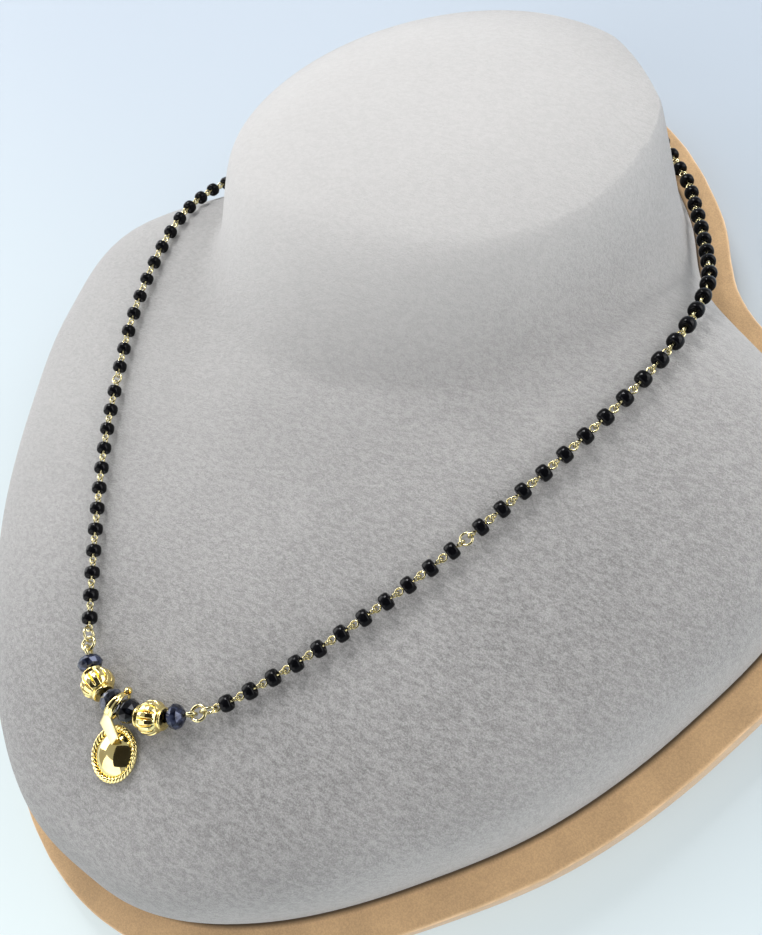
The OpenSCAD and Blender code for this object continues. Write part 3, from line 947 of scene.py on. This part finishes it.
def long_eye(middle, half_length, half_width, thick):
    """Long wire eye in X and Y: a round section carried round the ellipse of the two halves."""
    a = circle(EYE_STEPS)
    line = np.stack([middle + half_length * np.cos(a), half_width * np.sin(a), 0 * a], 1)
    out = np.stack([np.cos(a) / half_length, np.sin(a) / half_width, 0 * a], 1)
    out /= np.linalg.norm(out, axis=1, keepdims=True)
    return carried(line, out, UP, round_section(EYE_SIDES, thick / 2))


def bead_link(length, width, thick):
    """One link along X: a long eye that lies flat, one that stands, and the wire between them."""
    outer = (PITCH - linked(EYE, EYE)) / 2 + sum(EYE) - EYE[1] / 2
    middle = outer - length / 2
    halves = length / 2 - thick / 2, width / 2 - thick / 2
    first = long_eye(-middle, *halves, thick)
    second = long_eye(middle, *halves, thick)[..., [0, 2, 1]] * [1, -1, 1]
    reach = middle - halves[0]
    section = round_section(STEM_SIDES, thick / 2)[0] * [1, -1]
    ends = [np.column_stack([np.full(STEM_SIDES, x), section]) for x in (-reach, reach)]
    points, faces = [], []
    for part in (closed_round(first), closed_round(second), capped(np.stack(ends))):
        base = sum(map(len, points))
        points.append(part[0])
        faces += [[base + corner for corner in face] for face in part[1]]
    return np.concatenate(points), faces


def glass_bead(length, radius, bore):
    """Glass bead along X: a squarish oval section, powers of a sine and a cosine, turned round the
    bore."""
    b = circle(BEAD_STEPS)[:, None]
    a = circle(BEAD_SIDES)[None]
    x = length / 2 * np.sign(np.sin(b)) * np.abs(np.sin(b)) ** BEAD_SQUARE + 0 * a
    reach = (radius - bore) / 2 * np.sign(np.cos(b)) * np.abs(np.cos(b)) ** BEAD_SQUARE
    r = (radius + bore) / 2 + reach
    return closed_round(np.stack([x, r * np.cos(a), r * np.sin(a)], -1))


def chain_of(link, places, turned):
    """Copies of a link along the route, a quarter turned where asked, as one set of faces."""
    points, faces = link
    at, along = on_route(places, PITCH / 2)
    quarter = points[:, [0, 2, 1]] * [1, -1, 1]
    local = np.where(turned[:, None, None], quarter[None], points[None])
    copies = np.einsum("nij,npj->npi", along, local) + at[:, None]
    starts = [n * len(points) for n in range(len(places))]
    return copies.reshape(-1, 3), [[c + n for c in face] for n in starts for face in faces]


class BUST_OT_chain(bpy.types.Operator):
    """Make the black beads and the wire links between them, and finish the rings and the clasp"""

    bl_idname = "bust.chain"
    bl_label = "Bead Chain"

    def execute(self, context):
        settings = context.scene.bead_settings
        wire = tuple(settings.wire)
        gold = gold_finish("wire_gold", wire, tinted(wire, 0.8), 0.14, 0.6)
        places, flat = chain_layout()
        sizes = settings.eye_length, settings.eye_width, settings.wire_thick
        links = chain_of(bead_link(*(v / MM for v in sizes)), places, ~flat)
        beads = chain_of(glass_bead(BEAD_L, BEAD_D / 2, BEAD_BORE / 2), places, flat)
        dress(make_piece("glass_beads", beads, "black_beads"), glass_bead_finish())
        dress(make_piece("wire_links", links, "bead_wires"), gold)
        for name in WIRE_NODES:
            dress(NODES[name], gold)
        return {"FINISHED"}


def cut_crystal(length, radius, around):
    """Faceted rondelle along X: rings whose radius follows the rows, every other one turned by half
    a step, joined by flat triangles, and a flat end on each side."""
    shift = np.arange(len(CUT_ROWS))[:, None] % 2 / 2
    a = (np.arange(around) + shift) * 2 * np.pi / around
    x, r = length * CUT_ROWS[:, 0, None] + 0 * a, radius * CUT_ROWS[:, 1, None]
    points, faces = capped(np.stack([x, r * np.cos(a), r * np.sin(a)], -1))
    sides = (len(CUT_ROWS) - 1) * around
    quads = np.array(faces[:sides])
    odd = (np.arange(sides) // around % 2 == 1)[:, None]
    first = np.where(odd, quads[:, [0, 2, 3]], quads[:, [0, 1, 3]])
    second = np.where(odd, quads[:, [0, 1, 2]], quads[:, [1, 2, 3]])
    return points, first.tolist() + second.tolist() + faces[sides:]


class BUST_OT_crystals(bpy.types.Operator):
    """Cut the four faceted crystals"""

    bl_idname = "bust.crystals"
    bl_label = "Crystals"

    def execute(self, context):
        finishes = {slot: crystal_finish(*look) for slot, look in CRYSTALS.items()}
        inner, outer = BAIL_WIRE / 2 + GAP, 2 * CENTRE_GAP + GOLD_L
        for name, s, length, slot in [
            ("crystal_1", -inner - CRYSTAL_L * 1.5 - outer, CRYSTAL_L, "blue_crystal"),
            ("crystal_2", -inner - CRYSTAL_L / 2, CRYSTAL_L, "grey_crystal"),
            ("crystal_3", inner + BLACK_L / 2, BLACK_L, "black_crystal"),
            ("crystal_4", inner + BLACK_L + outer + CRYSTAL_L / 2, CRYSTAL_L, "blue_crystal"),
        ]:
            place, along = on_route(s, length / 2)
            part = moved(cut_crystal(length, CRYSTAL_D / 2, CUT_FACETS), along, place)
            dress(make_piece(name + "_cut", part, name, sharp=1), finishes[slot])
        return {"FINISHED"}


def rope_ring(radius, thick, strands, turns):
    """Twisted rope bent into a ring: the section is round, with `strands` ridges that go round it
    `turns` times on the way, so that its radius follows the absolute cosine of the ridge angle."""
    a = circle(ROPE_STEPS * strands * turns)
    b = circle(ROPE_SIDES * strands)
    angle = strands * b[None] / 2 + strands * turns * a[:, None] / 2
    ridge = np.abs(np.cos(angle)) ** ROPE_POWER
    section = round_section(len(b)) * (thick / 2 * (ROPE_CORE + ROPE_RIDGE * ridge))[..., None]
    out = np.stack([np.cos(a), np.sin(a), 0 * a], 1)
    return closed_round(carried(radius * out, out, UP, section))


def dome_disc(radius, thick, height):
    """Lathe of a polished cushion: flat underneath, a narrow step inside the rope, then a cap whose
    height is that of a sphere through its foot."""
    foot = radius - thick * DOME_FOOT
    ball = (foot**2 + height**2) / (2 * height)
    r = foot * np.sin(np.linspace(np.pi / 2, DOME_FIRST, DOME_RINGS))
    cap = np.stack([r, np.sqrt(ball**2 - r**2) - ball + height], 1)
    low, high = thick * DOME_EDGE[0], thick * DOME_EDGE[1]
    under = [[DOME_UNDER[0], low], [radius * DOME_UNDER[1], low], [radius, low]]
    step = np.array([*under, [radius, high], [foot + DOME_STEP, high]])
    return capped(lathe(np.concatenate([step, cap]), DOME_SIDES))


def leaf_plate(shape, length, thick):
    """Leaf-shaped plate along Y with bevelled edges: its outline shrinks towards its middle as it
    rises."""
    leaf = shape * [1, length]
    middle = leaf.mean(0)
    rings = [
        np.column_stack([middle + (leaf - middle) * share, np.full(len(leaf), level * thick)])
        for share, level in LEAF_BEVELS
    ]
    return capped(np.array(rings))


def bail_band(radius, thick, meets, ends):
    """Band round the wire, in the plane across it: an oval section with a groove along its outer
    side, swept round a circle, widest where the leaf meets it and narrow at the knob. Its half
    width follows a sine up to the leaf and a cube back down."""
    a = circle(BAIL_STEPS)
    b = circle(BAIL_SIDES)[None, :]
    start, peak = math.radians(ends), math.radians(meets)
    spread = np.clip((a - start) / math.radians(meets - ends), 0, 1)
    back = np.clip((2 * np.pi + start - a) / math.radians(360 - meets), 0, 1)
    share = np.where(a < peak, np.sin(spread * np.pi / 2), back**3)
    wide = BAIL_NARROW + BAIL_ADDED * share[:, None]
    x, y = np.cos(b), -np.sin(b)
    deepest, width = BAIL_GROOVE
    groove = deepest * np.exp(-((y / width) ** 2)) * (x > 0)
    deep = thick / 2 * (np.sign(x) * np.abs(x) ** BAIL_SQUARE - groove)
    section = np.stack(np.broadcast_arrays(deep, wide * y), -1)
    line = radius * np.stack([0 * a, np.cos(a), np.sin(a)], 1)
    return closed_round(carried(line, line / radius, ACROSS, section))


def knob(radius):
    """Small bud with a deep dimple in its outer end: a lathe about Z."""
    a = np.linspace(*KNOB_ARC, KNOB_STEPS)
    bud = np.stack([radius * KNOB_SLIM * np.cos(a), radius * np.sin(a)], 1)
    return capped(lathe(np.concatenate([bud, KNOB_HOLE * radius]), KNOB_SIDES))


class BUST_OT_pendant(bpy.types.Operator):
    """Make the pendant: rope edge, polished dome, leaf, bail and knob"""

    bl_idname = "bust.pendant"
    bl_label = "Pendant"

    def execute(self, context):
        settings = context.scene.pendant_settings
        size, rope, dome = (v / MM for v in (settings.diameter, settings.rope, settings.dome))
        wire, along = on_route(0.0, BAIL_WIRE)
        drop = size / 2 + HANG
        x = wire[0] + drop * math.sin(settings.turned)
        y = wire[1] - drop * math.cos(settings.turned)
        rise = chest_z(x, y + SLOPE_REACH) - chest_z(x, y - SLOPE_REACH)
        slope = math.atan(rise / (2 * SLOPE_REACH))
        place = np.array([x, y, BOARD_TOP + chest_z(x, y) + rope / 2 + 3 * GAP])
        lie = turn("X", math.degrees(slope)) @ turn("Z", math.degrees(settings.turned))
        # The leaf runs from its foot on the dome to the upper front of the bail
        up = wire[2] - place[2]
        meets = math.radians(LEAF_MEETS) + slope
        top_y = drop * math.cos(slope) + up * math.sin(slope) - BAIL_R * math.cos(meets)
        top_z = up * math.cos(slope) - drop * math.sin(slope) + BAIL_R * math.sin(meets)
        leaf_l = math.hypot(top_y - LEAF_FOOT_Y, top_z - LEAF_FOOT_Z)
        tilt = math.atan2(top_z - LEAF_T / 2 - LEAF_FOOT_Z, top_y - LEAF_FOOT_Y)
        leaf_foot = [0, LEAF_FOOT_Y, LEAF_FOOT_Z]
        leaf = moved(leaf_plate(LEAF, leaf_l, LEAF_T), turn("X", math.degrees(tilt)), leaf_foot)
        # The knob sits on the back of the bail
        hang = along @ turn("Z", -BAIL_TURN) @ turn("Y", BAIL_LEAN)
        bail = bail_band(BAIL_R, BAIL_THICK, 180 - LEAF_MEETS, KNOB_ANGLE)
        back = turn("X", KNOB_ANGLE) @ [0, BAIL_R + BAIL_WIRE / 2, 0]
        bud = moved(knob(KNOB_D / 2), turn("X", KNOB_ANGLE) @ turn("Y", KNOB_FACES), back)
        radius = (size - rope) / 2
        ring = rope_ring(radius, rope, ROPE_STRANDS, ROPE_TURNS)
        gold = tuple(settings.gold)
        polish = gold_finish("pendant_gold", gold, tinted(gold, PENDANT_SHADE), 0.05, 1.2)
        satin = gold_finish("leaf_gold", *LEAF_GOLD, 0.3, 0.8)
        for name, part, finish in [
            ("pendant_rope", moved(ring, lie, place), polish),
            ("pendant_dome", moved(dome_disc(radius, rope, dome), lie, place), polish),
            ("pendant_leaf", moved(leaf, lie, place), satin),
            ("pendant_bail", moved(bail, hang, wire), polish),
            ("pendant_knob", moved(bud, hang, wire), polish),
        ]:
            dress(make_piece(name, part, "pendant", sharp=38), finish)
        return {"FINISHED"}


def fluted_bead(lobes, length, radius):
    """Barrel with collars: rings along X whose radius follows the rows, pinched between lobes by a
    bell curve of the sine of the lobe angle, so that narrow grooves run along it."""
    rows = curve(FLUTED_ROWS, np.linspace(0, 1, ROW_STEPS * (len(FLUTED_ROWS) - 1) + 1))
    a = circle(lobes * LOBE_STEPS)
    groove = np.exp(-((np.sin(a * lobes / 2) / GROOVE_WIDTH) ** 2))
    r = radius * (rows[:, 1, None] - np.maximum(rows[:, 2, None], 0) * groove[None])
    x = np.broadcast_to(length / 2 * rows[:, 0, None], r.shape)
    return closed_round(np.stack([x, r * np.cos(a), r * np.sin(a)], -1))


class BUST_OT_gold_beads(bpy.types.Operator):
    """Make the two fluted gold beads with collars and deep grooves"""

    bl_idname = "bust.gold_beads"
    bl_label = "Gold Beads"

    def execute(self, context):
        lobes = context.scene.bead_settings.lobes
        gold = tuple(context.scene.pendant_settings.gold)
        finish = gold_finish("bead_gold", gold, tinted(gold, BEAD_SHADE), 0.08, 0.7)
        reach = BAIL_WIRE / 2 + GAP + CENTRE_GAP + GOLD_L / 2
        places = {"gold_bead_left": -reach - CRYSTAL_L, "gold_bead_right": reach + BLACK_L}
        for name, s in places.items():
            place, along = on_route(s, GOLD_L / 2)
            part = moved(fluted_bead(lobes, GOLD_L, GOLD_D / 2), along, place)
            dress(make_piece(name + "_fluted", part, name, sharp=50), finish)
        return {"FINISHED"}


def add_square(name, reach, material):
    """Flat square round the origin in X and Y, for the stage."""
    mesh = bpy.data.meshes.new(name)
    points = [(-reach, -reach, 0), (reach, -reach, 0), (reach, reach, 0), (-reach, reach, 0)]
    mesh.from_pydata(points, [], [(0, 1, 2, 3)])
    square = bpy.data.objects.new(name, mesh)
    bpy.context.scene.collection.objects.link(square)
    dress(square, material)
    return square


def add_lamp(name, where, power, size):
    """Square lamp aimed at the lit point."""
    light = bpy.data.lights.new(name, "AREA")
    light.energy = power
    light.size = size
    lamp = bpy.data.objects.new(name, light)
    lamp.location = where
    lamp.rotation_euler = (Vector(where) - Vector(LIT_POINT)).to_track_quat("Z", "Y").to_euler()
    bpy.context.scene.collection.objects.link(lamp)


def camera_matrix():
    """Looks down by CAMERA_DOWN along the azimuth, then rolls about the line of sight."""
    a, e, r = (math.radians(v) for v in (CAMERA_AZIMUTH, CAMERA_DOWN, CAMERA_ROLL))
    ahead = np.array([-math.sin(a) * math.cos(e), math.cos(a) * math.cos(e), -math.sin(e)])
    level = np.array([math.cos(a), math.sin(a), 0.0])
    over = np.cross(level, ahead)
    right = math.cos(r) * level + math.sin(r) * over
    up = -math.sin(r) * level + math.cos(r) * over
    columns = np.stack([right, up, -ahead, CAMERA_AT * MM], 1)
    return Matrix([*columns.tolist(), [0, 0, 0, 1]])


class BUST_OT_stage(bpy.types.Operator):
    """Set up the table, the dark card, the soft light and the camera"""

    bl_idname = "bust.stage"
    bl_label = "Stage"

    def execute(self, context):
        scene = context.scene
        table = add_square("table_top", TABLE_REACH, floor_finish(TABLE_NEAR, TABLE_FAR))
        card = add_square("dark_card", CARD_SIZE / 2, card_finish())
        card.matrix_world = camera_matrix() @ Matrix.Translation((0, 0, CARD_BACK))
        card.visible_camera = card.visible_diffuse = card.visible_shadow = False
        scene.world = bpy.data.worlds.new("soft_room")
        scene.world.use_nodes = True
        room = scene.world.node_tree.nodes["Background"]
        room.inputs["Color"].default_value = ROOM_COLOUR
        room.inputs["Strength"].default_value = ROOM_STRENGTH
        for lamp in LIGHTS:
            add_lamp(*lamp)
        camera = bpy.data.cameras.new("camera")
        camera.sensor_width = SENSOR
        camera.lens = FOCAL_PX / IMAGE_LONG * SENSOR
        camera.clip_start = CLIP_START
        holder = bpy.data.objects.new("camera", camera)
        holder.matrix_world = camera_matrix()
        scene.collection.objects.link(holder)
        scene.camera = holder
        scene.view_settings.view_transform = "Standard"
        return {"FINISHED"}


class BUST_PT_panel(bpy.types.Panel):
    """Lists the pieces and their sizes and colours"""

    bl_idname = "BUST_PT_panel"
    bl_label = "Neck Bust"
    bl_space_type = "VIEW_3D"
    bl_region_type = "UI"
    bl_category = "Neck Bust"

    def draw(self, context):
        for group in (getattr(context.scene, name) for name in GROUPS):
            box = self.layout.box()
            for name in group.bl_rna.properties.keys():
                if name not in {"rna_type", "name"}:
                    box.prop(group, name)
        for operator in OPERATORS:
            self.layout.operator(operator.bl_idname)


OPERATORS = [
    BUST_OT_stage,
    BUST_OT_velvet_form,
    BUST_OT_board,
    BUST_OT_chain,
    BUST_OT_crystals,
    BUST_OT_gold_beads,
    BUST_OT_pendant,
]
GROUPS = {
    "bust_settings": BustSettings,
    "bead_settings": BeadSettings,
    "pendant_settings": PendantSettings,
}


def register():
    for group in GROUPS.values():
        bpy.utils.register_class(group)
    for name, group in GROUPS.items():
        setattr(bpy.types.Scene, name, PointerProperty(type=group))
    for item in [*OPERATORS, BUST_PT_panel]:
        bpy.utils.register_class(item)


def unregister():
    for item in [BUST_PT_panel, *OPERATORS]:
        bpy.utils.unregister_class(item)
    for name, group in GROUPS.items():
        delattr(bpy.types.Scene, name)
        bpy.utils.unregister_class(group)


def main():
    register()
    bpy.ops.bust.stage()
    bpy.ops.bust.velvet_form()
    bpy.ops.bust.board()
    bpy.ops.bust.chain()
    bpy.ops.bust.crystals()
    bpy.ops.bust.gold_beads()
    bpy.ops.bust.pendant()


if __name__ == "__main__":
    main()
